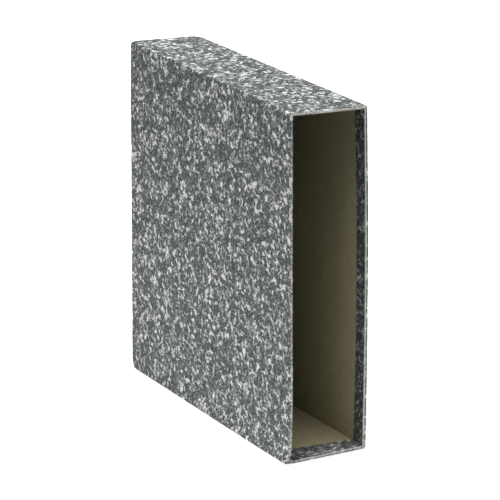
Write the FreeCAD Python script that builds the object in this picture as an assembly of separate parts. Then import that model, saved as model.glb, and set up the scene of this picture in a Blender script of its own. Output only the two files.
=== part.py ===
import FreeCAD, Part
import os

# Slipcase for an A4 lever arch file: a five-panel greyboard box, open at the
# front, held at its edges by folded kraft stay tape and covered in paper.
#
# Frame: X is the width, Y the depth (the open mouth faces -Y, the closed end
# is at +Y), Z is up.  Left is -X.  Origin: the middle of the footprint, on the
# surface the box stands on.  Millimetres.

# ---------------------------------------------------------------- sizes
width = 78.0            # outside, over the covering paper
depth = 294.0           # outside, mouth rim to closed end
height = 326.0          # outside, standing surface to top

board_t = 2.5           # greyboard
paper_t = 0.2           # covering paper with its paste
tape_t = 0.12           # kraft stay tape, lying between board and paper
tape_leg = 18.0         # how far each leg of a stay tape reaches from its board edge
tape_setback = 3.0      # stay tapes stop this far behind the boards' front edges

turn_in = 16.0          # covering paper turned into the mouth
back_flap = 14.0        # covering paper turned onto the closed end
lap_w = 15.0            # overlap where the wrap's two ends meet, underneath
lap_from_edge = 1.0     # the lapped end stops this far inside the lower left edge
sheet_inset = 2.5       # the closed end's own sheet stops short of the edges
fold_r = 0.8            # outside radius of the folded paper along the long edges

overcut = 1.0           # cutting blocks run this far past the faces they cut
overlap = paper_t / 2.0     # fused paper layers sink this far into each other
far = 400.0             # beyond the whole box, for open-ended regions

# ---------------------------------------------------------------- faces
# Outer faces of the wrap's plain single layer.
wrap_x = width / 2.0
wrap_front = -depth / 2.0
wrap_back = depth / 2.0 - paper_t         # the back sheet lies over the flaps
wrap_bottom = paper_t                     # the lap lies in the space below
wrap_top = height

# Outer faces of the greyboard carcass.  Its front edges carry no tape.
board_x = wrap_x - paper_t - tape_t
board_front = wrap_front + paper_t
board_back = wrap_back - paper_t - tape_t
board_bottom = wrap_bottom + paper_t + tape_t
board_top = wrap_top - paper_t - tape_t

# Clear inside of the carcass.
inside_x = board_x - board_t
inside_back = board_back - board_t
inside_bottom = board_bottom + board_t
inside_top = board_top - board_t

# The long-edge radius shrinks with each layer inwards.
tape_r = fold_r - paper_t
board_r = tape_r - tape_t


# ---------------------------------------------------------------- helpers
def block(x0, x1, y0, y1, z0, z1):
    return Part.makeBox(x1 - x0, y1 - y0, z1 - z0, FreeCAD.Vector(x0, y0, z0))


def rounded_block(half_x, y0, y1, z0, z1, radius):
    """A block centred on X with its four edges along Y rounded."""
    plain = block(-half_x, half_x, y0, y1, z0, z1)
    along_y = [e for e in plain.Edges
               if abs(e.Vertexes[0].X - e.Vertexes[1].X) < 1e-6
               and abs(e.Vertexes[0].Z - e.Vertexes[1].Z) < 1e-6]
    return plain.makeFillet(radius, along_y)


# ---------------------------------------------------------------- greyboard
def make_carcass():
    """The boards' outer envelope, with its long edges eased for the fold."""
    return rounded_block(board_x, board_front, board_back,
                         board_bottom, board_top, board_r)


def make_boards():
    """Full-size sides, top and bottom between them, back between all four."""
    carcass = make_carcass()

    def side(x0, x1):
        return block(x0, x1, board_front, board_back,
                     board_bottom, board_top).common(carcass)

    def between_sides(y0, z0, z1):
        return block(-inside_x, inside_x, y0, board_back, z0, z1)

    return {
        "board_left_side": side(-board_x, -inside_x),
        "board_right_side": side(inside_x, board_x),
        "board_top": between_sides(board_front, inside_top, board_top),
        "board_bottom": between_sides(board_front, board_bottom, inside_bottom),
        "board_back": between_sides(inside_back, inside_bottom, inside_top),
    }


# ---------------------------------------------------------------- stay tapes
def make_stay_tapes():
    """One thin layer over the carcass, divided into eight folded strips.

    Four run along the long edges.  The four round the closed end are fitted
    between them.
    """
    layer = rounded_block(board_x + tape_t,
                          board_front + tape_setback, board_back + tape_t,
                          board_bottom - tape_t, board_top + tape_t, tape_r)
    layer = layer.cut(make_carcass())

    # where the tape legs end, inwards from the board edges
    leg_x = board_x - tape_leg
    leg_y = board_back - tape_leg
    leg_bottom = board_bottom + tape_leg
    leg_top = board_top - tape_leg

    sides = (("left", -far, -leg_x), ("right", leg_x, far))             # x range
    levels = (("top", leg_top, far), ("bottom", -far, leg_bottom))      # z range

    regions = {}
    for level, z0, z1 in levels:
        for side, x0, x1 in sides:
            regions[level + "_" + side] = block(x0, x1, -far, board_back, z0, z1)
    for side, x0, x1 in sides:
        regions["back_" + side] = block(x0, x1, leg_y, far, leg_bottom, leg_top)
    for level, z0, z1 in levels:
        regions["back_" + level] = block(-leg_x, leg_x, leg_y, far, z0, z1)

    return {"stay_tape_" + place: layer.common(region).removeSplitter()
            for place, region in regions.items()}


# ---------------------------------------------------------------- cover wrap
def make_cover_wrap():
    """One sheet round all four walls, turned in at the mouth and folded onto
    the back board at the closed end."""
    outer = rounded_block(wrap_x, wrap_front, wrap_back, wrap_bottom, wrap_top, fold_r)

    # room for the carcass and its tapes
    core = rounded_block(wrap_x - paper_t, board_front, wrap_back - paper_t,
                         wrap_bottom + paper_t, wrap_top - paper_t, tape_r)
    wrap = outer.cut(core)

    # the mouth goes through the rim, leaving paper over the board edges
    def mouth_opening(y1):
        return block(-inside_x + paper_t, inside_x - paper_t, wrap_front - overcut, y1,
                     inside_bottom + paper_t, inside_top - paper_t)

    wrap = wrap.cut(mouth_opening(board_front + overcut))

    # turned-in strips on the inner faces
    turn_in_end = wrap_front + turn_in
    strips = block(-inside_x, inside_x, board_front - overlap, turn_in_end,
                   inside_bottom, inside_top)
    wrap = wrap.fuse(strips.cut(mouth_opening(turn_in_end + overcut)))

    # the flaps leave the middle of the closed end open
    flap_hole = block(-wrap_x + back_flap, wrap_x - back_flap,
                      wrap_back - overcut, wrap_back + overcut,
                      wrap_bottom + back_flap, wrap_top - back_flap)
    wrap = wrap.cut(flap_hole)

    # the lap underneath, where the two ends of the sheet are pasted together
    lap_left = -wrap_x + lap_from_edge
    lap = block(lap_left, lap_left + lap_w, wrap_front, wrap_back,
                0.0, wrap_bottom + overlap)
    return wrap.fuse(lap).removeSplitter()


# ---------------------------------------------------------------- back sheet
def make_back_sheet():
    """The closed end's own sheet, pasted over the flaps."""
    half_x = wrap_x - sheet_inset
    return block(-half_x, half_x, wrap_back, wrap_back + paper_t,
                 wrap_bottom + sheet_inset, wrap_top - sheet_inset)


# ---------------------------------------------------------------- output
parts = {
    **make_boards(),
    **make_stay_tapes(),
    "cover_wrap": make_cover_wrap(),
    "cover_back_sheet": make_back_sheet(),
}

os.makedirs("parts", exist_ok=True)
for name, shape in parts.items():
    # booleans may wrap their single solid in a compound
    assert len(shape.Solids) == 1, name
    solid = shape.Solids[0]
    assert solid.isValid(), name
    solid.exportStep(os.path.join("parts", name + ".step"))
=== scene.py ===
# A slipcase: a five-sided greyboard box covered in marbled paper, standing upright.
# Metres, +Z up.  The open mouth faces -Y and the closed end +Y; left is -X, right is +X,
# and the box stands on z = 0.  Kraft stay tapes fold over the edges of the boards, and one
# cover sheet wraps the four walls, turns in at the mouth and is flapped onto the closed end.
import bpy
import bmesh
import math
import numpy as np
from mathutils import Matrix, Vector


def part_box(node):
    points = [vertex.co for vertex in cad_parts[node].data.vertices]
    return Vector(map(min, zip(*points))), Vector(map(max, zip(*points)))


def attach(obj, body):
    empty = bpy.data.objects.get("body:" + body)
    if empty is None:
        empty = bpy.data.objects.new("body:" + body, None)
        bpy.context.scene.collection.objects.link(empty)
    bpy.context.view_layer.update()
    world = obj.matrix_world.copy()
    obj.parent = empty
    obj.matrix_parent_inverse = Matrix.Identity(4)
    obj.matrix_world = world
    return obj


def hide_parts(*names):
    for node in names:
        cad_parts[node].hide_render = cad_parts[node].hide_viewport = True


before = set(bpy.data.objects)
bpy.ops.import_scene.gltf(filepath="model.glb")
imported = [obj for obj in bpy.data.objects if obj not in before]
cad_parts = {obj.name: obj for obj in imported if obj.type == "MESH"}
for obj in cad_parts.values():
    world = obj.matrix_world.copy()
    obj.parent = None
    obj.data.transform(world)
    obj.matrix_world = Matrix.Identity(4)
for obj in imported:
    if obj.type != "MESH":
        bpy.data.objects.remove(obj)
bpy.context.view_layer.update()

MM = 0.001
PER_METRE = 1000.0                         # millimetres in a metre, for texture coordinates

# --------------------------------------------------------------------------
# Places and thicknesses, driven by the CAD pieces
# --------------------------------------------------------------------------
wrap_lo, wrap_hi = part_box("cover_wrap")
sheet_lo, sheet_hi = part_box("cover_back_sheet")
right_board_lo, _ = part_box("board_right_side")

PAPER = sheet_hi.y - sheet_lo.y            # paper and its paste
THICK = 0.9 * PAPER                        # the paper alone
HALF_WIDTH = wrap_hi.x
HEIGHT = wrap_hi.z
MOUTH_Y = wrap_lo.y                        # the rim
FLAP_Y = wrap_hi.y                         # the wrap's flaps on the closed end
DEPTH = sheet_hi.y - MOUTH_Y
UNDERSIDE = wrap_lo.z + PAPER              # plain underside; the lap hangs below it
RIM = HALF_WIDTH - right_board_lo.x + PAPER   # board edge with paper on both sides
FOLD_R = 0.9 * MM                          # long folds and rim folds, outside
END_FOLD_R = 0.6 * MM                      # folds at the closed end
FLAP = 14.0 * MM
LAP = 15.0 * MM
LAP_END = -HALF_WIDTH + 1.0 * MM           # where the second layer of the lap stops
LAP_TOP = LAP_END + LAP                    # where the first layer of the lap starts
# depths of the rows down the turn-in, in mm behind the rim; the last is its cut edge
TURN_IN_ROWS = (1.15, 1.5, 2.1, 2.9, 3.8, 4.8, 5.9, 7.1, 8.4, 9.8, 11.3, 12.8, 14.3, 15.2, 16.0)
TURN_IN = TURN_IN_ROWS[-1] * MM
SAME = 1e-9                                # slack when comparing lengths


# --------------------------------------------------------------------------
# Small helpers
# --------------------------------------------------------------------------
def smooth(t):
    t = np.clip(t, 0.0, 1.0)
    return t * t * (3 - 2 * t)


def lattice(ix, iy, iz, seed):
    """Hash whole-number lattice points to values in -1..1."""
    h = (ix * 374761393 + iy * 668265263 + iz * 1440662683 + seed * 974634777) & 0xFFFFFFFF
    h = ((h ^ (h >> 13)) * 1274126177) & 0xFFFFFFFF
    h = (h ^ (h >> 16)) & 0xFFFFFFFF
    return h.astype(np.float64) / 4294967295.0 * 2.0 - 1.0


def wobble(points, size, seed):
    """Smooth value noise in -1..1 at the points, with features of about `size`."""
    scaled = np.asarray(points, float) / size + 1000.0
    cell = np.floor(scaled).astype(np.int64)
    part = smooth(scaled - cell)
    out = 0.0
    for a in (0, 1):
        for b in (0, 1):
            for c in (0, 1):
                weights = np.where((a, b, c), part, 1 - part)
                weight = weights[..., 0] * weights[..., 1] * weights[..., 2]
                out = out + weight * lattice(cell[..., 0] + a, cell[..., 1] + b,
                                             cell[..., 2] + c, seed)
    return out


def spread(start, end, step, ends=(0.7, 1.6, 3.2, 6.0)):
    """Places from start to end (metres), about `step` apart but closer near both ends,
    where they lie at the distances `ends` (mm)."""
    length = abs(end - start)
    near = [x * MM for x in ends if x * MM < length * 0.3]
    last = near[-1]
    count = max(2, int(round((length - 2 * last) / step)))
    middle = list(np.linspace(last, length - last, count + 1))
    places = [0.0] + near[:-1] + middle + [length - x for x in near[:-1]] + [length]
    return start + (end - start) * np.unique(np.round(places, 9)) / length


def fold_wear(distance, reach):
    return np.exp(-(np.abs(distance) / reach) ** 1.4)


def either(a, b):
    """Two kinds of wear together."""
    return 1 - (1 - a) * (1 - b)


# --------------------------------------------------------------------------
# How the real box departs from a perfect one.  Every piece goes through `warp`,
# so boards, tapes and paper stay together.
# --------------------------------------------------------------------------
# (x side, y side, 1 at the top) -> shift of that corner along x, y, z in mm
CORNERS = {
    (-1, -1, 0): (-0.4, -0.3, 0.0), (-1, -1, 1): (-0.65, 1.95, 1.1),
    (-1, 1, 0): (-0.3, 0.0, 0.0), (-1, 1, 1): (1.9, 0.1, 2.0),
    (1, -1, 0): (2.1, -1.2, 0.0), (1, -1, 1): (-0.7, -1.3, -2.1),
    (1, 1, 0): (0.0, 0.0, 0.0), (1, 1, 1): (-2.0, 0.0, -1.85),
}
# same keys -> how far the corner is knocked inwards along x, y, z, and its reach, in mm
CRUSH = {
    (-1, -1, 0): (0.2, 0.5, 0.7, 6.0), (-1, -1, 1): (0.5, 0.4, 0.4, 4.0),
    (-1, 1, 0): (0.5, 0.8, 0.9, 6.0), (-1, 1, 1): (0.6, 0.7, 0.7, 5.0),
    (1, -1, 0): (0.4, 0.4, 0.6, 4.5), (1, -1, 1): (0.2, 0.2, 0.15, 3.0),
    (1, 1, 0): (0.5, 0.7, 0.6, 5.0), (1, 1, 1): (0.7, 0.8, 0.6, 5.0),
}
# the lower left edge runs outwards at the mouth (mm)
SPLAY_X, SPLAY_Y, SPLAY_HEIGHT = -1.8, 1.9, 11.0
# folded-over paper thickens that edge towards the mouth (mm)
FOOT_X, FOOT_HEIGHT = -1.9, 22.0
BELLY_EVEN, BELLY_RIGHT = 1.0, 0.85        # side walls outwards; both walls towards +X (mm)
TOP_SAG = 0.25                             # mm, midway between the side walls
DENT, DENT_REACH = 0.22, 1.6 * MM          # soft dents along the folds: mm deep, metres wide
# slow unevenness of the board: (size in metres, seed, height in mm)
UNEVEN_X = ((0.075, 3, 0.16), (0.030, 5, 0.06))
UNEVEN_Z = ((0.075, 11, 0.12), (0.030, 17, 0.05))


def layered(points, layers):
    return sum(wobble(points, size, seed) * height for size, seed, height in layers)


def warp(points):
    points = np.array(points, float)
    x, y, z = np.moveaxis(points, -1, 0)
    across = x / HALF_WIDTH                # -1 left, 1 right
    deep = (y - MOUTH_Y) / DEPTH           # 0 at the mouth, 1 at the closed end
    rise = z / HEIGHT
    rise_in = np.clip(rise, 0, 1)
    shift = np.zeros_like(points)          # kept in metres
    for (sx, sy, top), offset in CORNERS.items():
        share = ((1 + sx * across) / 2) * (deep if sy > 0 else 1 - deep) * (
            rise if top else 1 - rise)
        shift += share[..., None] * np.array(offset) * MM
    splay = (np.exp(-(z / (SPLAY_HEIGHT * MM)) ** 2) * (1 - across) / 2
             * (1 - smooth((deep - 0.12) / 0.9)))
    shift[..., 0] += SPLAY_X * MM * splay
    shift[..., 1] += SPLAY_Y * MM * splay
    shift[..., 0] += (FOOT_X * MM * np.exp(-(z / (FOOT_HEIGHT * MM)) ** 2)
                      * np.clip((1 - across) / 2, 0, 1) ** 20 * np.clip(1 - deep, 0, 1))
    # the side walls belly towards the mouth, and the top sags
    free = (1 - 0.92 * smooth(deep)) * np.sin(np.pi * rise_in)
    shift[..., 0] += (across * BELLY_EVEN + BELLY_RIGHT * np.abs(across)) * free * MM
    shift[..., 2] -= (TOP_SAG * MM * rise * np.cos(np.pi / 2 * np.clip(across, -1, 1))
                      * (1 - 0.7 * smooth(deep)))
    shift[..., 0] += (layered(points, UNEVEN_X) * MM * np.abs(across)
                      * np.sin(np.pi * rise_in) ** 0.5)
    shift[..., 2] += layered(points + 7.0, UNEVEN_Z) * MM * smooth((rise - 0.5) * 2)
    # knocked corners
    for (sx, sy, top), (cx, cy, cz, reach) in CRUSH.items():
        corner = np.array([sx * HALF_WIDTH, MOUTH_Y if sy < 0 else MOUTH_Y + DEPTH,
                           HEIGHT if top else 0.0])
        far = (((points - corner) / (reach * MM)) ** 2).sum(-1)
        inwards = np.array([-sx * cx, -sy * cy, -cz if top else cz])
        shift += inwards * MM * np.exp(-far * 1.6)[..., None]
    # dents where two outer faces meet
    near_x = np.exp(-((1 - np.abs(across)) * HALF_WIDTH / DENT_REACH) ** 2)
    near_z = np.exp(-(np.minimum(z, HEIGHT - z) / DENT_REACH) ** 2)
    near_y = np.exp(-(np.minimum(y - MOUTH_Y, MOUTH_Y + DEPTH - y) / DENT_REACH) ** 2)
    dent = DENT * MM * (wobble(points + 3.0, size=0.011, seed=23) * 0.5 + 0.5)
    shift[..., 0] -= np.sign(across) * dent * near_x * np.maximum(near_z, near_y)
    shift[..., 1] -= np.where(deep > 0.5, 1.0, -1.0) * dent * near_y * np.maximum(near_x, near_z)
    shift[..., 2] -= np.where(rise > 0.5, 1.0, 0.0) * dent * near_z * np.maximum(near_x, near_y)
    out = points + shift
    out[..., 2] = np.maximum(out[..., 2], 0.0)
    return out


# --------------------------------------------------------------------------
# Meshes and objects
# --------------------------------------------------------------------------
class Sheet:
    """Patches of points, warped and welded into one mesh with a "sheet" UV map (metres on the
    flat sheet) and an attribute for wear, which on the rim also holds painted highlight."""

    def __init__(self):
        self.points, self.wear, self.faces, self.uvs = [], [], [], []

    def patch(self, points, across, along, wear, flip=False):
        """Add a grid of points; across, along and wear (with any painted highlight) broadcast to
        its shape.
        """
        points = warp(points)
        shape = rows, cols = points.shape[:2]
        uv = np.stack([np.broadcast_to(c, shape) for c in (across, along)], -1).reshape(-1, 2)
        base = sum(len(p) for p in self.points)
        self.points.append(points.reshape(-1, 3))
        self.wear.append(np.broadcast_to(wear, shape).reshape(-1))
        for i in range(rows - 1):
            for j in range(cols - 1):
                first = i * cols + j
                quad = [first, first + 1, first + cols + 1, first + cols]
                if flip:
                    quad.reverse()
                self.faces.append([base + k for k in quad])
                self.uvs.append(uv[quad])

    def mesh(self, name):
        bm = bmesh.new()
        wear_layer = bm.verts.layers.float.new("wear")
        verts = []
        for place, wear in zip(np.concatenate(self.points), np.concatenate(self.wear)):
            vert = bm.verts.new(place)
            vert[wear_layer] = wear
            verts.append(vert)
        uv_layer = bm.loops.layers.uv.new("sheet")
        for quad, uvs in zip(self.faces, self.uvs):
            face = bm.faces.new([verts[k] for k in quad])
            face.smooth = True
            for loop, uv in zip(face.loops, uvs):
                loop[uv_layer].uv = uv
        bmesh.ops.remove_doubles(bm, verts=bm.verts, dist=2e-6)
        bmesh.ops.dissolve_degenerate(bm, dist=1e-7, edges=bm.edges)
        return to_mesh(name, bm)


def to_mesh(name, bm):
    mesh = bpy.data.meshes.new(name)
    bm.to_mesh(mesh)
    bm.free()
    return mesh


def link(name, data):
    ob = bpy.data.objects.new(name, data)
    bpy.context.scene.collection.objects.link(ob)
    return ob


def thicken(ob, thickness, materials, even=True):
    """Give a sheet its thickness inwards.  Three materials are outer side, inner side
    and cut edge; a single one covers all."""
    for material in materials:
        ob.data.materials.append(material)
    last = len(materials) - 1
    solid = ob.modifiers.new("thickness", "SOLIDIFY")
    solid.thickness = thickness
    solid.offset = -1.0
    solid.use_even_offset = even
    solid.material_offset = min(1, last)
    solid.material_offset_rim = min(2, last)
    bpy.context.view_layer.update()
    depsgraph = bpy.context.evaluated_depsgraph_get()
    mesh = bpy.data.meshes.new_from_object(
        ob.evaluated_get(depsgraph), preserve_all_data_layers=True, depsgraph=depsgraph)
    ob.modifiers.clear()
    thin = ob.data
    ob.data = mesh
    bpy.data.meshes.remove(thin)


# --------------------------------------------------------------------------
# The cover wrap as a flat sheet: `across` runs round the four walls, `along` runs
# from the closed end to the mouth
# --------------------------------------------------------------------------
ARC = np.linspace(0, 1, 6)                 # samples round a long fold
QUARTER = np.linspace(0, math.pi / 2, 6)   # angles round a fold at the rim or closed end
ARC_LEN = math.pi / 2 * FOLD_R
SIDE_LEN = HEIGHT - UNDERSIDE - 2 * FOLD_R
TOP_LEN = 2 * HALF_WIDTH - 2 * FOLD_R
LENGTHS = {"bottom_left": ARC_LEN, "left": SIDE_LEN, "top_left": ARC_LEN, "top": TOP_LEN,
           "top_right": ARC_LEN, "right": SIDE_LEN, "bottom_right": ARC_LEN, "bottom": TOP_LEN}
START = {}                                 # where each wall and long fold starts
SHEET_WIDTH = 0.0
for part_name, part_length in LENGTHS.items():
    START[part_name] = SHEET_WIDTH
    SHEET_WIDTH += part_length

WALL_Y = spread(FLAP_Y - END_FOLD_R, MOUTH_Y + FOLD_R, 4.6 * MM)
WALL_ALONG = (FLAP_Y - END_FOLD_R) - WALL_Y
WALL_RUN = WALL_ALONG[-1]
OVER_RIM = math.pi * FOLD_R + RIM - 2 * FOLD_R   # along the sheet, over the rim

WALL_ENDS = (0.7, 1.5, 2.5, 3.7, 5.1, 6.8, 8.8, 11.2)
SIDE_SAMPLES = spread(0.0, SIDE_LEN, 4.8 * MM, ends=WALL_ENDS) / SIDE_LEN
TOP_SAMPLES = spread(0.0, TOP_LEN, 3.6 * MM, ends=WALL_ENDS) / TOP_LEN

# fold centre x and z, and start angle; each turns a quarter clockwise seen from the mouth
LONG_FOLDS = {
    "bottom_left": (-HALF_WIDTH + FOLD_R, UNDERSIDE + FOLD_R, 1.5 * math.pi),
    "top_left": (-HALF_WIDTH + FOLD_R, HEIGHT - FOLD_R, math.pi),
    "top_right": (HALF_WIDTH - FOLD_R, HEIGHT - FOLD_R, 0.5 * math.pi),
    "bottom_right": (HALF_WIDTH - FOLD_R, UNDERSIDE + FOLD_R, 0.0),
}

# how much the rim is rubbed, plus painted highlight on the rim folds that face the light:
# lengths along the path over it (mm), and wear at each
RIM_RUB_AND_HIGHLIGHT = {
    "left": ((0, 0.6, 1.2, 2.1, 2.8, 3.3, 3.9), (0.05, 0.30, 0.88, 0.76, 0.62, 0.55, 0.28)),
    "top": ((0, 0.5, 1.1, 2.7, 3.3, 3.9), (0.10, 0.45, 0.95, 0.95, 0.70, 0.20)),
    "right": ((0, 1.8, 2.3, 2.65, 4.3, 4.6), (0.00, 0.00, 0.25, 0.93, 1.00, 0.50)),
    "bottom": ((0, 1.0, 1.5, 3.1, 3.6, 3.9), (0.08, 0.20, 0.92, 0.98, 0.60, 0.15)),
}


def mouth_path():
    """Over the rim and into the mouth: inset from the outer face, y, length along."""
    rows = [(FOLD_R * (1 - math.cos(a)), MOUTH_Y + FOLD_R - FOLD_R * math.sin(a), FOLD_R * a)
            for a in QUARTER]
    run = FOLD_R * math.pi / 2
    for inset in (1.2 * MM, 1.45 * MM, 1.7 * MM, RIM - FOLD_R):
        rows.append((inset, MOUTH_Y, run + inset - FOLD_R))
    run = run + RIM - 2 * FOLD_R
    for a in QUARTER[1:]:
        rows.append((RIM - FOLD_R + FOLD_R * math.sin(a), MOUTH_Y + FOLD_R * (1 - math.cos(a)),
                     run + FOLD_R * a))
    run = run + FOLD_R * math.pi / 2
    for depth in TURN_IN_ROWS:
        rows.append((RIM, MOUTH_Y + depth * MM, run + depth * MM - FOLD_R))
    return np.array(rows).T


def end_path():
    """Onto the closed end: inset from the outer face, y, length along, wear."""
    rows = [(END_FOLD_R * (1 - math.cos(a)),
             FLAP_Y - END_FOLD_R + END_FOLD_R * math.sin(a), END_FOLD_R * a,
             0.35 + 0.3 * math.sin(2 * a)) for a in QUARTER]
    run = END_FOLD_R * math.pi / 2
    for inset in (FOLD_R, 1.6 * MM, 2.5 * MM, 4.0 * MM, 6.5 * MM, 9.5 * MM, 12.0 * MM,
                  13.3 * MM, FLAP):
        rows.append((inset, FLAP_Y, run + inset - END_FOLD_R,
                     0.3 * math.exp(-(inset / MM) / 1.2)))
    return np.array(rows).T


MOUTH_INSET, MOUTH_ROW_Y, MOUTH_ALONG = mouth_path()
END_INSET, END_ROW_Y, END_ALONG, END_WEAR = end_path()


def lap_drop(x, y):
    """How far the second layer hangs below the first on the underside."""
    share = smooth((LAP_TOP + 2.2 * MM - x) / (1.8 * MM))
    share = share * smooth((y - (MOUTH_Y + 1.0 * MM)) / (4 * MM))
    share = share * smooth(((FLAP_Y - 1.0 * MM) - y) / (4 * MM))
    return share * (UNDERSIDE - wrap_lo.z)


def half_run(inset, half_size):
    """Half the width of a flap at this inset: the folds meet in a mitre, a hair apart."""
    gap = 0.03 * MM * smooth((inset - FOLD_R) / (0.4 * MM))
    return half_size - np.maximum(FOLD_R, inset) - np.where(inset > FOLD_R, gap, 0.0)


def wall_points(name, samples, inset, y, taper=0.0):
    """Points and their `across` values.  Samples run 0..1 along the wall; each row has
    an inset from the outer face, a y and a taper that shortens it at both ends."""
    inset, y, taper = (np.reshape(column, (-1, 1)) for column in (inset, y, taper))
    points = np.zeros((len(y), len(samples), 3))
    points[..., 1] = y
    middle = START[name] + LENGTHS[name] / 2
    if name in ("left", "right"):
        side = -1 if name == "left" else 1
        offset = (2 * samples - 1) * (half_run(inset, (HEIGHT - UNDERSIDE) / 2) - taper)
        points[..., 0] = side * (HALF_WIDTH - inset)
        points[..., 2] = (HEIGHT + UNDERSIDE) / 2 - side * offset
        return points, middle + offset
    half = half_run(inset, HALF_WIDTH) - taper
    if name == "top":
        x = (2 * samples - 1) * half
        points[..., 0] = x
        points[..., 2] = HEIGHT - inset
        return points, middle + x
    x = half + (np.maximum(-half, LAP_END) - half) * samples
    points[..., 0] = x
    points[..., 2] = UNDERSIDE + inset - lap_drop(x, y) * (inset < 0.5 * RIM)
    return points, middle - x


def fold_points(name, inset, y):
    """Points and `across` values round a long fold."""
    cx, cz, start = LONG_FOLDS[name]
    angle = start - math.pi / 2 * ARC
    radius = np.maximum(FOLD_R - inset, 0.0)[:, None]
    x = cx + radius * np.cos(angle)
    z = cz + radius * np.sin(angle)
    points = np.stack([x, np.broadcast_to(y[:, None], x.shape), z], -1)
    return points, START[name] + ARC_LEN * ARC


def turn_in_wander(name, points):
    """How much deeper (mm) the cut edge of the turn-in lies than nominal."""
    flat = points * np.array([1, 0, 1])
    wander = (wobble(flat + 5.0, size=0.026, seed=31) * 0.35
              + wobble(flat, size=0.006, seed=37) * 0.08)
    wander += {"left": -0.25, "right": 0.3}.get(name, 0.1)
    if name == "bottom":                   # cut deeper, and on a slant from x = 36.3 mm
        wander += 2.4 + 0.135 * (36.3 - points[..., 0] / MM)
    if name == "right":                    # narrower at mid height
        wander -= 1.7 * np.sin(np.pi * np.clip(points[..., 2] / HEIGHT, 0, 1))
    return wander


def add_wall(sheet, name, samples):
    """One wall of the wrap with its turn-in at the mouth and flap on the closed end."""
    length = LENGTHS[name]
    x = samples * length
    side_wear = 0.3 * (fold_wear(x + 0.35 * MM, 0.75 * MM)
                       + fold_wear(length - x + 0.35 * MM, 0.75 * MM))
    # rim rub, partly real wear and partly painted highlight on the rim folds that face the light
    rim_wear = np.interp(MOUTH_ALONG / MM, *RIM_RUB_AND_HIGHLIGHT[name])
    rim_wear[MOUTH_ALONG > OVER_RIM + 0.35 * MM] = 0.0
    # the wall itself
    row_wear = (fold_wear((FLAP_Y - END_FOLD_R * 0.3) - WALL_Y, 0.8 * MM) * 0.4
                + np.exp(-((WALL_Y - (MOUTH_Y + FOLD_R)) / (0.9 * MM)) ** 1.4) * rim_wear[0])
    points, across = wall_points(name, samples, np.zeros(len(WALL_Y)), WALL_Y)
    sheet.patch(points, across, WALL_ALONG[:, None], either(side_wear, row_wear[:, None]),
                flip=True)
    # rim and turn-in; the cut edge wanders a little and the ends are trimmed on a slant
    deep = (np.clip((MOUTH_ROW_Y - (MOUTH_Y + FOLD_R)) / TURN_IN, 0, None)
            * (MOUTH_INSET >= RIM - SAME))
    points, across = wall_points(name, samples, MOUTH_INSET, MOUTH_ROW_Y, deep * 0.15 * MM)
    wander = turn_in_wander(name, points) * MM * deep[:, None]
    points[..., 1] += wander
    # the lower left corner is less rubbed
    corner = np.sqrt((points[..., 0] + HALF_WIDTH) ** 2 + points[..., 2] ** 2)
    calm = 1 - 0.45 * np.exp(-(corner / (9.0 * MM)) ** 2)
    wear = either(0.5 * side_wear * (MOUTH_INSET < RIM)[:, None], rim_wear[:, None] * calm)
    sheet.patch(points, across, (WALL_RUN + MOUTH_ALONG)[:, None] + wander, wear, flip=True)
    # flap on the closed end
    taper = np.clip((END_INSET - 2 * MM) / FLAP, 0, None) * 0.6 * MM
    points, across = wall_points(name, samples, END_INSET, END_ROW_Y, taper)
    sheet.patch(points, across, -END_ALONG[:, None], either(0.5 * side_wear, END_WEAR[:, None]))


def add_long_fold(sheet, name):
    """A long fold, and the little fans where it meets the rim and the closed end."""
    points, across = fold_points(name, np.zeros(len(WALL_Y)), WALL_Y)
    sheet.patch(points, across, WALL_ALONG[:, None], 0.35, flip=True)
    fan = MOUTH_INSET <= FOLD_R + SAME
    points, across = fold_points(name, MOUTH_INSET[fan], MOUTH_ROW_Y[fan])
    sheet.patch(points, across, (WALL_RUN + MOUTH_ALONG[fan])[:, None],
                0.35 if name == "bottom_left" else 0.5, flip=True)
    fan = END_INSET <= FOLD_R + SAME
    points, across = fold_points(name, END_INSET[fan], END_ROW_Y[fan])
    sheet.patch(points, across, -END_ALONG[fan][:, None], 0.6)


def add_lap(sheet):
    """First layer of the lap, under the box beneath the second one."""
    rows = (WALL_Y > MOUTH_Y + 3 * MM) & (WALL_Y < FLAP_Y - 3 * MM)
    reach = np.array([0.0, 0.7, 2.0, 4.5, 8.0, 11.5, 14.0, 15.1]) * MM
    x, y = np.meshgrid(-HALF_WIDTH + FOLD_R + reach, WALL_Y[rows])
    lift = smooth(reach / (1.2 * MM)) * 0.02 * MM
    points = np.stack([x, y, np.broadcast_to(UNDERSIDE + lift, x.shape)], -1)
    sheet.patch(points, -reach, WALL_ALONG[rows][:, None], 0.0)


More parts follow.
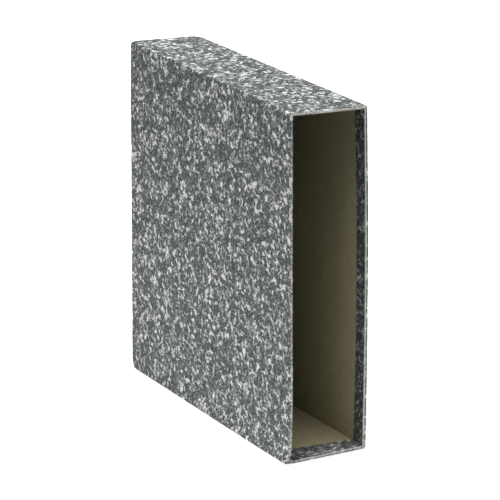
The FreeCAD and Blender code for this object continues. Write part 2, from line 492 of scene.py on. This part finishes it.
def lay_out_wrap(mesh):
    """Add the "OFBake" UV map: printed faces fill nearly all of it, in two bands
    (left + top, right + bottom); a thin strip holds the hidden faces."""
    gap = 0.0015                           # round each band, metres
    lap_room = LAP + 0.003
    strip = 0.06                           # share kept for the hidden faces
    sheet_uv = np.zeros(len(mesh.loops) * 2)
    mesh.uv_layers["sheet"].data.foreach_get("uv", sheet_uv)
    across, along = sheet_uv.reshape(-1, 2).T
    slot = np.zeros(len(mesh.polygons), np.int32)
    mesh.polygons.foreach_get("material_index", slot)
    corners = np.zeros(len(mesh.polygons), np.int32)
    mesh.polygons.foreach_get("loop_total", corners)
    face = np.repeat(np.arange(len(slot)), corners)
    middle = np.zeros(len(slot))
    np.add.at(middle, face, across)
    middle /= corners

    along_start = -END_ALONG[-1] - 0.0005
    along_end = WALL_RUN + MOUTH_ALONG[-1] + 0.0005
    cut = START["top_right"] + ARC_LEN / 2
    width = max(cut + lap_room, SHEET_WIDTH - cut) + 2 * gap
    band = (along_end - along_start) + 2 * gap
    first = middle[face] < cut
    u = (np.where(first, across + lap_room, across - cut) + gap) / width
    v = (np.where(first, along - along_start, along - along_start + band) + gap) / (2 * band)
    printed = np.stack([u, strip + (1 - strip) * v], -1)
    slot = slot[face]
    hidden = np.stack([v * 0.48 + 0.5 * (slot == 2), u * (strip - 0.01) + 0.003], -1)
    out = np.where((slot > 0)[:, None], hidden, printed)
    layer = mesh.uv_layers.new(name="OFBake")
    layer.data.foreach_set("uv", np.clip(out, 0.0005, 0.9995).astype(np.float32).ravel())


def build_wrap(materials):
    sheet = Sheet()
    for name in ("left", "top", "right", "bottom"):
        add_wall(sheet, name, SIDE_SAMPLES if name in ("left", "right") else TOP_SAMPLES)
    for name in LONG_FOLDS:
        add_long_fold(sheet, name)
    add_lap(sheet)
    ob = link("cover_wrap_sheet", sheet.mesh("cover_wrap"))
    thicken(ob, THICK, materials)
    lay_out_wrap(ob.data)
    return ob


# --------------------------------------------------------------------------
# The closed end's own sheet, over the flaps and sinking between them
# --------------------------------------------------------------------------
def build_back_sheet(materials):
    xs = spread(sheet_lo.x, sheet_hi.x, 3.0 * MM, ends=(0.5, 1.5, 3.5, 7.0))
    zs = spread(sheet_lo.z, sheet_hi.z, 4.4 * MM, ends=(0.5, 1.5, 3.5, 7.0, 9.5, 11.0, 12.5))
    x, z = np.meshgrid(xs, zs)
    inset = np.minimum.reduce([x + HALF_WIDTH, HALF_WIDTH - x, z - UNDERSIDE, HEIGHT - z])
    dip = smooth((inset - (FLAP - 0.3 * MM)) / (2.2 * MM)) * (PAPER * 0.85)
    y = np.full(x.shape, sheet_hi.y - 0.01 * MM) - dip
    # the cut edges wander
    wander = wobble(np.stack([x, x * 0, z], -1), size=0.02, seed=41) * 0.12 * MM
    edge_x = np.abs(x) >= sheet_hi.x - 1e-7
    edge_z = (z <= sheet_lo.z + 1e-7) | (z >= sheet_hi.z - 1e-7)
    points = np.stack([x + np.where(edge_x, wander, 0), y, z + np.where(edge_z, wander, 0)], -1)
    to_edge = np.minimum(np.minimum(x - sheet_lo.x, sheet_hi.x - x),
                         np.minimum(z - sheet_lo.z, sheet_hi.z - z))
    sheet = Sheet()
    # the offsets choose which part of the marbling shows
    sheet.patch(points, -x + 0.9, z + 0.5, 0.35 * np.exp(-to_edge / (0.6 * MM)), flip=True)
    ob = link("cover_back_sheet_paper", sheet.mesh("cover_back_sheet"))
    thicken(ob, THICK, materials, even=False)
    return ob


# --------------------------------------------------------------------------
# Boards: closed blocks with eased edges, finely divided so they can bend
# --------------------------------------------------------------------------
BOARD_NAMES = ("board_left_side", "board_right_side", "board_top", "board_bottom", "board_back")
EASE = 0.35 * MM                           # rounding of the board edges
BOARD_STEP = 6.0 * MM                      # also the size below which a side counts as thin
BOARD_ENDS = (0.8, 1.9, 3.4, 5.2, 7.4, 10.0, 13.0, 17.0)


def board_divisions(lo, hi):
    ease = min(EASE, (hi - lo) * 0.45)
    if hi - lo < BOARD_STEP:
        inner = np.linspace(lo + ease, hi - ease, 3)
    else:
        inner = spread(lo + ease, hi - ease, BOARD_STEP, ends=BOARD_ENDS)
    return np.concatenate([[lo], inner, [hi]])


def build_board(node, material):
    lo, hi = (np.array(corner, float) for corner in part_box(node))
    axes = [board_divisions(lo[k], hi[k]) for k in range(3)]
    cells = [len(places) - 1 for places in axes]
    bm = bmesh.new()
    made = {}

    def vert(key):
        if key not in made:
            made[key] = bm.verts.new([axes[k][key[k]] for k in range(3)])
        return made[key]

    for fixed in range(3):
        count_a, count_b = (cells[k] for k in range(3) if k != fixed)
        for side in (0, 1):
            for a in range(count_a):
                for b in range(count_b):
                    quad = []
                    for p, q in ((a, b), (a + 1, b), (a + 1, b + 1), (a, b + 1)):
                        key = [p, q]
                        key.insert(fixed, side * cells[fixed])
                        quad.append(vert(tuple(key)))
                    if (fixed == 1) != (side == 0):
                        quad.reverse()
                    bm.faces.new(quad)
    # pull the outermost ring in to round every edge and corner
    ease = np.minimum(EASE, (hi - lo) * 0.45)
    for v in bm.verts:
        place = np.array(v.co)
        core = np.clip(place, lo + ease, hi - ease)
        out = place - core
        if (np.abs(out) > SAME).sum() >= 2:
            place = core + out / np.linalg.norm(out / ease)
        v.co = place
    bmesh.ops.recalc_face_normals(bm, faces=bm.faces)
    for face in bm.faces:
        face.smooth = True
    name = node.replace("board_", "greyboard_")
    mesh = to_mesh(node, bm)
    places = np.zeros(len(mesh.vertices) * 3)
    mesh.vertices.foreach_get("co", places)
    mesh.vertices.foreach_set("co", warp(places.reshape(-1, 3)).ravel())
    mesh.update()
    ob = link(name, mesh)
    ob.data.materials.append(material)
    return ob


# --------------------------------------------------------------------------
# Stay tapes: thin strips folded over the edges of the carcass
# --------------------------------------------------------------------------
TAPE_THICK = 0.105 * MM
TAPE_LIFT = 0.008 * MM                     # inside its CAD box
TAPE_FOLD_R = 0.66 * MM
TAPE_LEG = 18.0 * MM
TAPE_ROWS = np.array([1.0, 0.72, 0.42, 0.16])   # rows down a leg, as shares of it
TAPE_HALF_FOLD = TAPE_FOLD_R * 0.785       # half the fold, across the flat strip


def tape_profile(corner, first, second):
    """Up one leg, round the fold and down the other: points and distance across.
    first and second point from the sharp outer corner along the two legs."""
    reach = TAPE_FOLD_R + (TAPE_LEG - TAPE_FOLD_R) * TAPE_ROWS
    angle = (ARC * math.pi / 2)[:, None]
    points = np.concatenate([
        corner + first * reach[:, None],
        corner + first * TAPE_FOLD_R * (1 - np.sin(angle))
        + second * TAPE_FOLD_R * (1 - np.cos(angle)),
        corner + second * reach[::-1, None]])
    across = np.concatenate([-reach, (2 * ARC - 1) * TAPE_HALF_FOLD, reach[::-1]])
    return points, across


def build_tape(node, material):
    lo, hi = (np.array(corner, float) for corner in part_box(node))
    words = node.split("_")[2:]
    x_side = -1 if "left" in words else 1
    z_side = 1 if "top" in words else -1
    start_gap, step = 0.1 * MM, 6 * MM
    # the axis it runs along, and for each leg the axis and the side it starts from
    if "back" not in words:
        run_axis, legs = 1, ((2, z_side), (0, x_side))
        start_gap = 0.2 * MM
    elif "left" in words or "right" in words:
        run_axis, legs = 2, ((1, 1), (0, x_side))
    else:
        run_axis, legs = 0, ((1, 1), (2, z_side))
        step = 5 * MM
    corner = np.zeros(3)
    directions = np.zeros((2, 3))
    for direction, (axis, side) in zip(directions, legs):
        corner[axis] = hi[axis] - TAPE_LIFT if side > 0 else lo[axis] + TAPE_LIFT
        direction[axis] = -side
    profile, across = tape_profile(corner, *directions)
    run = np.zeros(3)
    run[run_axis] = 1.0
    along = spread(lo[run_axis] + start_gap, hi[run_axis] - 0.1 * MM, step, ends=(0.8, 2.5))
    points = profile[None, :, :] + run * along[:, None, None]
    # the ends are torn rather than cut
    torn = np.abs(wobble(points + 2.0, size=0.004, seed=51) * 0.35 * MM)
    end = np.zeros(len(along))
    end[0], end[-1] = 1, -1
    points = points + run * (torn * end[:, None])[..., None]
    # the first leg lies on the face that the second leg points away from
    normal = np.cross(points[0, 1] - points[0, 0], points[1, 0] - points[0, 0])
    sheet = Sheet()
    sheet.patch(points, across, along[:, None], 0.0,
                flip=float(np.dot(normal, -directions[1])) < 0)
    ob = link(node + "_strip", sheet.mesh(node))
    thicken(ob, TAPE_THICK, [material])
    return ob


# --------------------------------------------------------------------------
# Node building
# --------------------------------------------------------------------------
class ShaderTree:
    def __init__(self, owner, clear=True):
        owner.use_nodes = True
        self.owner = owner
        self.tree = owner.node_tree
        if clear:
            self.tree.nodes.clear()
        self.x = 0

    def new(self, kind, **settings):
        node = self.tree.nodes.new(kind)
        self.x += 40
        node.location = (self.x, 0)
        for key, value in settings.items():
            setattr(node, key, value)
        return node

    def put(self, socket, value):
        """Link a socket, or set a plain value."""
        if isinstance(value, bpy.types.NodeSocket):
            self.tree.links.new(value, socket)
        elif socket.type == "RGBA" and len(value) == 3:
            socket.default_value = (*value, 1.0)
        else:
            socket.default_value = value

    def math(self, operation, a, b=0.0, c=None, clamp=False):
        node = self.new("ShaderNodeMath", operation=operation, use_clamp=clamp)
        self.put(node.inputs[0], a)
        self.put(node.inputs[1], b)
        if c is not None:
            self.put(node.inputs[2], c)
        return node.outputs[0]

    def add(self, a, b):
        return self.math("ADD", a, b)

    def sub(self, a, b):
        return self.math("SUBTRACT", a, b)

    def mul(self, a, b):
        return self.math("MULTIPLY", a, b)

    def weighted(self, *terms):
        """Sum of (value, weight) pairs."""
        total = None
        for value, weight in terms:
            term = self.mul(value, weight)
            total = term if total is None else self.add(total, term)
        return total

    def vector_math(self, operation, a, b):
        node = self.new("ShaderNodeVectorMath", operation=operation)
        self.put(node.inputs[0], a)
        self.put(node.inputs[1], b)
        return node.outputs[0]

    def shift(self, a, b):
        return self.vector_math("ADD", a, b)

    def scaled(self, vector, scale):
        node = self.new("ShaderNodeVectorMath", operation="SCALE")
        self.put(node.inputs[0], vector)
        self.put(node.inputs["Scale"], scale)
        return node.outputs[0]

    def stretch(self, vector, scale):
        node = self.new("ShaderNodeMapping")
        self.put(node.inputs["Vector"], vector)
        self.put(node.inputs["Scale"], scale)
        return node.outputs[0]

    def split(self, vector):
        node = self.new("ShaderNodeSeparateXYZ")
        self.put(node.inputs[0], vector)
        return node.outputs

    def coordinates(self, kind):
        return self.new("ShaderNodeTexCoord").outputs[kind]

    def sheet_uv(self):
        return self.new("ShaderNodeUVMap", uv_map="sheet").outputs[0]

    def camera_ray(self):
        return self.new("ShaderNodeLightPath").outputs["Is Camera Ray"]

    def noise(self, vector, scale, detail, rough=0.5, distortion=0.0, colour=False):
        node = self.new("ShaderNodeTexNoise", noise_dimensions="3D")
        self.put(node.inputs["Vector"], vector)
        self.put(node.inputs["Scale"], scale)
        self.put(node.inputs["Detail"], detail)
        self.put(node.inputs["Roughness"], rough)
        self.put(node.inputs["Distortion"], distortion)
        return node.outputs["Color" if colour else 0]

    def ramp(self, value, start, end, low=0.0, high=1.0, kind="SMOOTHSTEP"):
        """From low to high as value goes from start to end."""
        node = self.new("ShaderNodeMapRange", interpolation_type=kind)
        self.put(node.inputs["Value"], value)
        self.put(node.inputs["From Min"], start)
        self.put(node.inputs["From Max"], end)
        self.put(node.inputs["To Min"], low)
        self.put(node.inputs["To Max"], high)
        return node.outputs[0]

    def mix(self, a, b, factor, strength=None, kind="MIX"):
        if strength is not None:
            factor = self.mul(factor, strength)
        node = self.new("ShaderNodeMix", data_type="RGBA", blend_type=kind)
        self.put(node.inputs[0], factor)
        self.put(node.inputs[6], a)
        self.put(node.inputs[7], b)
        return node.outputs[2]

    def finish(self, colour, rough, height, bump, distance, specular):
        shader = self.new("ShaderNodeBsdfPrincipled")
        self.put(shader.inputs["Base Color"], colour)
        self.put(shader.inputs["Roughness"], rough)
        self.put(shader.inputs["Specular IOR Level"], specular)
        relief = self.new("ShaderNodeBump")
        relief.inputs["Strength"].default_value = bump
        relief.inputs["Distance"].default_value = distance
        self.put(relief.inputs["Height"], height)
        self.put(shader.inputs["Normal"], relief.outputs[0])
        output = self.new("ShaderNodeOutputMaterial")
        self.put(output.inputs["Surface"], shader.outputs[0])
        return shader


def srgb(*channels):
    """Linear colour from 0..255 sRGB channels."""
    shares = [c / 255.0 for c in channels]
    return tuple(c / 12.92 if c <= 0.04045 else ((c + 0.055) / 1.055) ** 2.4 for c in shares)


# --------------------------------------------------------------------------
# Materials.  Noise scales are per millimetre; the shifts only keep one noise from
# lining up with another.
# --------------------------------------------------------------------------
def marbled_paper(name, seed, margin=None):
    """Cloud-marbled cover paper: slate ground, pale ragged clouds and threads.
    Past `margin` (metres along the sheet), on the turn-in inside the mouth, painted shade
    darkens the paper and thins its clouds."""
    tree = ShaderTree(bpy.data.materials.new(name))
    sheet_uv = tree.sheet_uv()
    place = tree.scaled(sheet_uv, PER_METRE)
    place = tree.shift(place, (seed * 137.0, seed * 71.0, seed * 11.0))

    def jitter(**noise):
        return tree.vector_math("SUBTRACT", tree.noise(place, colour=True, **noise),
                                (0.5, 0.5, 0.5))

    slow = jitter(scale=0.17, detail=1.0, rough=0.5)
    quick = jitter(scale=0.62, detail=2.0, rough=0.6)
    ragged = tree.shift(place, tree.scaled(slow, scale=6.0))
    ragged = tree.shift(ragged, tree.scaled(quick, scale=3.4))
    # clouds, and where they crowd or thin out
    crowding = 0.16
    cloudy = tree.noise(ragged, scale=0.235, detail=2.0, rough=0.55)
    thin = tree.noise(tree.shift(ragged, (31.0, 5.0, 3.0)), scale=0.06, detail=1.0)
    cloudy = tree.add(cloudy, tree.mul(tree.sub(thin, 0.5), crowding))
    if margin is not None:
        # painted shade on the turn-in inside the mouth: fewer pale clouds there
        shade_fewer_clouds = 0.022
        turn_in_shade = tree.ramp(tree.split(sheet_uv)[1], start=margin - 0.0006, end=margin + 0.0012)
        # painted shade on the turn-in, weaker where it faces up
        normal = tree.new("ShaderNodeNewGeometry").outputs["Normal"]
        shade_by_facing = tree.ramp(tree.split(normal)[2], start=0.3, end=0.7, low=1.0, high=0.22)
        turn_in_shade = tree.mul(turn_in_shade, shade_by_facing)
        cloudy = tree.sub(cloudy, tree.mul(turn_in_shade, shade_fewer_clouds))
    cloud = tree.ramp(cloudy, start=0.549, end=0.611)
    core = tree.ramp(cloudy, start=0.60, end=0.68)
    # threads joining them: the ridges of a noise, in some places only
    wavy = tree.shift(place, tree.scaled(quick, scale=4.5))
    ridge = tree.noise(tree.shift(wavy, (9.0, 17.0, 5.0)), scale=0.16, detail=1.0)
    ridge = tree.sub(1.0, tree.math("ABSOLUTE", tree.math("MULTIPLY_ADD", ridge, 2.0, -1.0)))
    ridge = tree.ramp(ridge, start=0.925, end=0.985)
    where = tree.noise(tree.shift(place, (3.0, 41.0, 9.0)), scale=0.12, detail=1.0)
    thread = tree.mul(ridge, tree.ramp(where, start=0.47, end=0.58))
    # small mid-grey flecks
    fleck = tree.noise(tree.shift(ragged, (71.0, 3.0, 1.0)), scale=0.58, detail=1.0)
    fleck = tree.ramp(fleck, start=0.52, end=0.61)
    # how far each lifts the ground towards the light colour
    cloud_tone, thread_tone, core_tone, fleck_tone = 0.72, 0.62, 0.28, 0.23
    tone = tree.math("MAXIMUM", tree.mul(cloud, cloud_tone), tree.mul(thread, thread_tone))
    tone = tree.add(tone, tree.mul(core, core_tone))
    tone = tree.math("MAXIMUM", tone, tree.mul(fleck, fleck_tone), clamp=True)
    ground = tree.mix(srgb(51, 58, 57), srgb(80, 86, 85),
                      factor=tree.noise(place, scale=0.80, detail=3.0, rough=0.65))
    mottle = tree.noise(tree.shift(place, (5.0, 5.0, 5.0)), scale=0.4, detail=2.0)
    light = tree.mix(srgb(214, 216, 215), srgb(242, 243, 241), factor=mottle)
    colour = tree.mix(ground, light, factor=tone)
    if margin is not None:
        # painted shade: the turn-in inside the mouth is darkened
        colour = tree.mix(colour, srgb(38, 43, 42), factor=turn_in_shade, strength=0.38)
    # fibres of the paper itself
    fibres = tree.noise(tree.stretch(place, (1.0, 0.45, 1.0)), scale=5.0, detail=3.0, rough=0.65)
    fibre_grey = tree.mix((0.0, 0.0, 0.0), (1.0, 1.0, 1.0), factor=fibres)
    colour = tree.mix(colour, fibre_grey, factor=0.10, kind="OVERLAY")
    # rubbed folds: the print wears through to pale stock; on the rim this pale colour is partly
    # painted highlight where the folds face the light
    wear = tree.new("ShaderNodeAttribute", attribute_name="wear").outputs["Fac"]
    broken = tree.noise(tree.shift(place, (0.0, 0.0, 57.0)), scale=0.50, detail=3.0, rough=0.6)
    rub_and_highlight = tree.ramp(tree.weighted((wear, 0.62), (broken, 0.95)), start=0.78, end=1.12)
    colour = tree.mix(colour, srgb(225, 226, 219), factor=rub_and_highlight, strength=0.88)
    rub_rough = 0.2
    rough = tree.add(tree.ramp(tone, start=0, end=1, low=0.56, high=0.62),
                     tree.mul(rub_and_highlight, rub_rough))
    height = tree.weighted((fibres, 0.5), (tree.noise(place, scale=0.33, detail=2.0), 0.9))
    tree.finish(colour, rough, height, bump=0.22, distance=0.00012, specular=0.16)
    return tree.owner


def plain_stock(name, base, other):
    """Unprinted side and cut edge of the cover paper."""
    tree = ShaderTree(bpy.data.materials.new(name))
    place = tree.scaled(tree.sheet_uv(), PER_METRE)
    fibres = tree.noise(tree.stretch(place, (1.0, 0.3, 1.0)), scale=2.2, detail=3.0, rough=0.6)
    specks = tree.ramp(tree.noise(place, scale=3.5, detail=2.0, rough=0.6), start=0.62, end=0.72)
    colour = tree.mix(base, other, factor=fibres)
    colour = tree.mix(colour, srgb(150, 146, 138), factor=specks, strength=0.25)
    tree.finish(colour, rough=0.82, height=fibres, bump=0.25, distance=0.0001, specular=0.25)
    return tree.owner


def greyboard(name, seed):
    """Bare olive-brown board: matt, faintly fibrous, with flecks of recycled pulp."""
    tree = ShaderTree(bpy.data.materials.new(name))
    position = tree.coordinates("Object")
    place = tree.scaled(position, PER_METRE)
    place = tree.shift(place, (seed * 61.0, seed * 29.0, seed * 97.0))
    broad = tree.noise(place, scale=0.018, detail=3.0, rough=0.55)
    mid = tree.noise(place, scale=0.16, detail=3.0, rough=0.6)
    fibre_y = tree.noise(tree.stretch(place, (1.0, 0.16, 1.0)), scale=1.1, detail=4.0,
                         rough=0.65, distortion=0.6)
    fibre_z = tree.noise(tree.stretch(place, (1.0, 1.0, 0.2)), scale=1.6, detail=3.0,
                         rough=0.6, distortion=0.4)
    _, y, z = tree.split(position)
    inside = tree.ramp(y, start=-0.12, end=0.09)      # greyer away from the mouth
    # painted shade: the board is darkened towards the top, where the top board shades the inside
    painted_top_shade = tree.ramp(z, start=0.16, end=0.31)        # darker towards the top
    colour = tree.mix(tree.mix(srgb(157, 149, 118), srgb(146, 147, 136), factor=inside),
                      tree.mix(srgb(173, 165, 134), srgb(161, 161, 150), factor=inside),
                      factor=broad)
    colour = tree.mix(colour, srgb(145, 137, 110),
                      factor=tree.ramp(mid, start=0.35, end=0.65, high=0.35))
    colour = tree.mix(colour, srgb(200, 192, 164),
                      factor=tree.ramp(fibre_y, start=0.52, end=0.72, high=0.30))
    colour = tree.mix(colour, srgb(128, 118, 94),
                      factor=tree.ramp(fibre_z, start=0.56, end=0.74, high=0.28))
    dark = tree.noise(tree.shift(place, (7.0, 3.0, 1.0)), scale=0.85, detail=2.0)
    colour = tree.mix(colour, srgb(78, 72, 62),
                      factor=tree.ramp(dark, start=0.70, end=0.76), strength=0.5)
    pale = tree.noise(tree.shift(place, (17.0, 13.0, 11.0)), scale=1.1, detail=1.0)
    colour = tree.mix(colour, srgb(200, 195, 178),
                      factor=tree.ramp(pale, start=0.72, end=0.78), strength=0.45)
    # painted shade towards the top
    colour = tree.mix(colour, srgb(96, 88, 84), factor=painted_top_shade, strength=0.20)
    height = tree.weighted((fibre_y, 0.6), (fibre_z, 0.5), (mid, 0.5))
    rough = tree.ramp(fibre_y, start=0.3, end=0.7, low=0.78, high=0.9)
    tree.finish(colour, rough, height, bump=0.35, distance=0.00018, specular=0.25)
    return tree.owner


def kraft(name):
    """Brown kraft paper with fibres along the tape and faint ribs."""
    tree = ShaderTree(bpy.data.materials.new(name))
    place = tree.scaled(tree.sheet_uv(), PER_METRE)
    fibres = tree.noise(tree.stretch(place, (1.0, 0.18, 1.0)), scale=1.3, detail=4.0,
                        rough=0.65, distortion=0.5)
    patches = tree.noise(place, scale=0.25, detail=3.0, rough=0.6)
    colour = tree.mix(srgb(148, 112, 74), srgb(186, 148, 104), factor=fibres)
    colour = tree.mix(colour, srgb(130, 96, 62),
                      factor=tree.ramp(patches, start=0.4, end=0.7, high=0.4))
    ribs = tree.new("ShaderNodeTexWave", wave_type="BANDS", bands_direction="X")
    tree.put(ribs.inputs["Vector"], place)
    ribs.inputs["Scale"].default_value = 0.45
    ribs.inputs["Distortion"].default_value = 0.6
    height = tree.weighted((fibres, 0.7), (ribs.outputs["Fac"], 0.2))
    tree.finish(colour, rough=0.72, height=height, bump=0.25, distance=0.00012, specular=0.3)
    return tree.owner


def floor_paper(name):
    """The eye sees white paper all round; bounced light comes back mostly from close by."""
    tree = ShaderTree(bpy.data.materials.new(name))
    position = tree.coordinates("Object")
    mottle = tree.noise(position, scale=3.0, detail=2.0)
    camera_ray = tree.camera_ray()
    seen = tree.mix((0.90, 0.90, 0.90), (0.93, 0.93, 0.93), factor=mottle)
    distance = tree.new("ShaderNodeVectorMath", operation="LENGTH")
    tree.put(distance.inputs[0], position)
    near = tree.ramp(distance.outputs["Value"], start=0.25, end=1.5, low=1.0, high=0.0)
    bounced = tree.mix((0.16, 0.16, 0.16), (0.70, 0.70, 0.70), factor=near)
    colour = tree.mix(bounced, seen, factor=camera_ray)
    shader = tree.finish(colour, rough=0.9, height=tree.noise(position, scale=400.0, detail=2.0),
                         bump=0.05, distance=0.0002, specular=0.05)
    glow = 0.36                            # emission seen by the camera only
    tree.put(shader.inputs["Emission Color"], (1.0, 1.0, 1.0))
    tree.put(shader.inputs["Emission Strength"], tree.mul(camera_ray, glow))
    return tree.owner


# --------------------------------------------------------------------------
# Build the pieces
# --------------------------------------------------------------------------
paper = marbled_paper("marbled_paper", seed=1, margin=WALL_RUN + OVER_RIM)
back_paper = marbled_paper("marbled_paper_back_sheet", seed=4)
stock = plain_stock("paper_reverse", base=srgb(222, 219, 210), other=srgb(206, 202, 192))
cut_edge = plain_stock("paper_cut_edge", base=srgb(196, 194, 188), other=srgb(176, 173, 166))
board_materials = [greyboard("greyboard_" + node.split("_")[1], seed)
                   for seed, node in enumerate(BOARD_NAMES)]
kraft_material = kraft("kraft_stay_tape")

pieces = {"cover_wrap": build_wrap([paper, stock, cut_edge])}
for node, material in zip(BOARD_NAMES, board_materials):
    pieces[node] = build_board(node, material)
pieces["cover_back_sheet"] = build_back_sheet([back_paper, stock, cut_edge])
for node in sorted(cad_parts):
    if node.startswith("stay_tape"):
        pieces[node] = build_tape(node, kraft_material)

for node, ob in pieces.items():
    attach(ob, "root")
    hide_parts(node)


# --------------------------------------------------------------------------
# Floor, light and camera
# --------------------------------------------------------------------------
def build_floor(radius, z, sides):
    bm = bmesh.new()
    angles = np.linspace(0, 2 * math.pi, sides, endpoint=False)
    bm.faces.new([bm.verts.new((radius * math.cos(a), radius * math.sin(a), z))
                  for a in angles])
    floor = link("studio_floor", to_mesh("studio_floor", bm))
    floor.data.materials.append(floor_paper("floor_paper"))


def build_world():
    """A soft ceiling over dimmer walls for the object, a plain pale backdrop for the eye."""
    world = bpy.data.worlds.new("studio")
    bpy.context.scene.world = world
    tree = ShaderTree(world, clear=False)
    background = world.node_tree.nodes["Background"]
    background.inputs["Color"].default_value = (1.0, 1.0, 1.0, 1)
    camera_ray = tree.camera_ray()
    up = tree.split(tree.coordinates("Generated"))["Z"]
    ceiling = tree.ramp(up, start=0.30, end=0.95, low=0.02, high=0.66)
    strength = tree.ramp(camera_ray, start=0.0, end=1.0, low=ceiling, high=1.02, kind="LINEAR")
    tree.put(background.inputs["Strength"], strength)


def soft_sun(name, towards, strength, spread_deg):
    """A very broad, distant source: even over the whole floor, soft-edged shadows."""
    light = bpy.data.lights.new(name, "SUN")
    light.energy = strength
    light.angle = math.radians(spread_deg)
    ob = link(name, light)
    ob.rotation_euler = Vector(towards).to_track_quat("Z", "Y").to_euler()
    ob.location = Vector(towards) * 2.0


def build_camera(yaw, pitch, roll, distance, lens, target_z, shift_right, shift_up):
    """Angles in degrees, lens in mm; looks at (0, 0, target_z), slid sideways and up."""
    yaw, pitch, roll = (math.radians(angle) for angle in (yaw, pitch, roll))
    back = Vector((math.sin(yaw) * math.cos(pitch), -math.cos(yaw) * math.cos(pitch),
                   math.sin(pitch)))
    level = Vector((math.cos(yaw), math.sin(yaw), 0.0))
    upright = back.cross(level)
    right = math.cos(roll) * level + math.sin(roll) * upright
    up = -math.sin(roll) * level + math.cos(roll) * upright
    place = Vector((0, 0, target_z)) + right * shift_right + up * shift_up + back * distance
    data = bpy.data.cameras.new("photo_camera")
    data.sensor_width = 36.0
    data.lens = lens
    data.clip_end = 100.0
    camera = link("photo_camera", data)
    rows = [tuple(row) for row in zip(right, up, back, place)]
    camera.matrix_world = Matrix((*rows, (0, 0, 0, 1)))
    bpy.context.scene.camera = camera


build_floor(radius=14, z=-0.00005, sides=96)
build_world()
soft_sun("overhead_key", towards=(-0.24, 0.06, 0.97), strength=3.22, spread_deg=55.0)
soft_sun("left_light", towards=(-0.709, 0.410, 0.574), strength=0.47, spread_deg=40.0)
soft_sun("front_fill", towards=(0.35, -0.52, 0.78), strength=0.32, spread_deg=40.0)
build_camera(yaw=-31.0, pitch=18.125, roll=0.042, distance=2.744, lens=213.012,
             target_z=0.163, shift_right=0.0059, shift_up=-0.00727)
bpy.context.scene.view_settings.view_transform = "Standard"
bpy.context.scene.view_settings.look = "None"
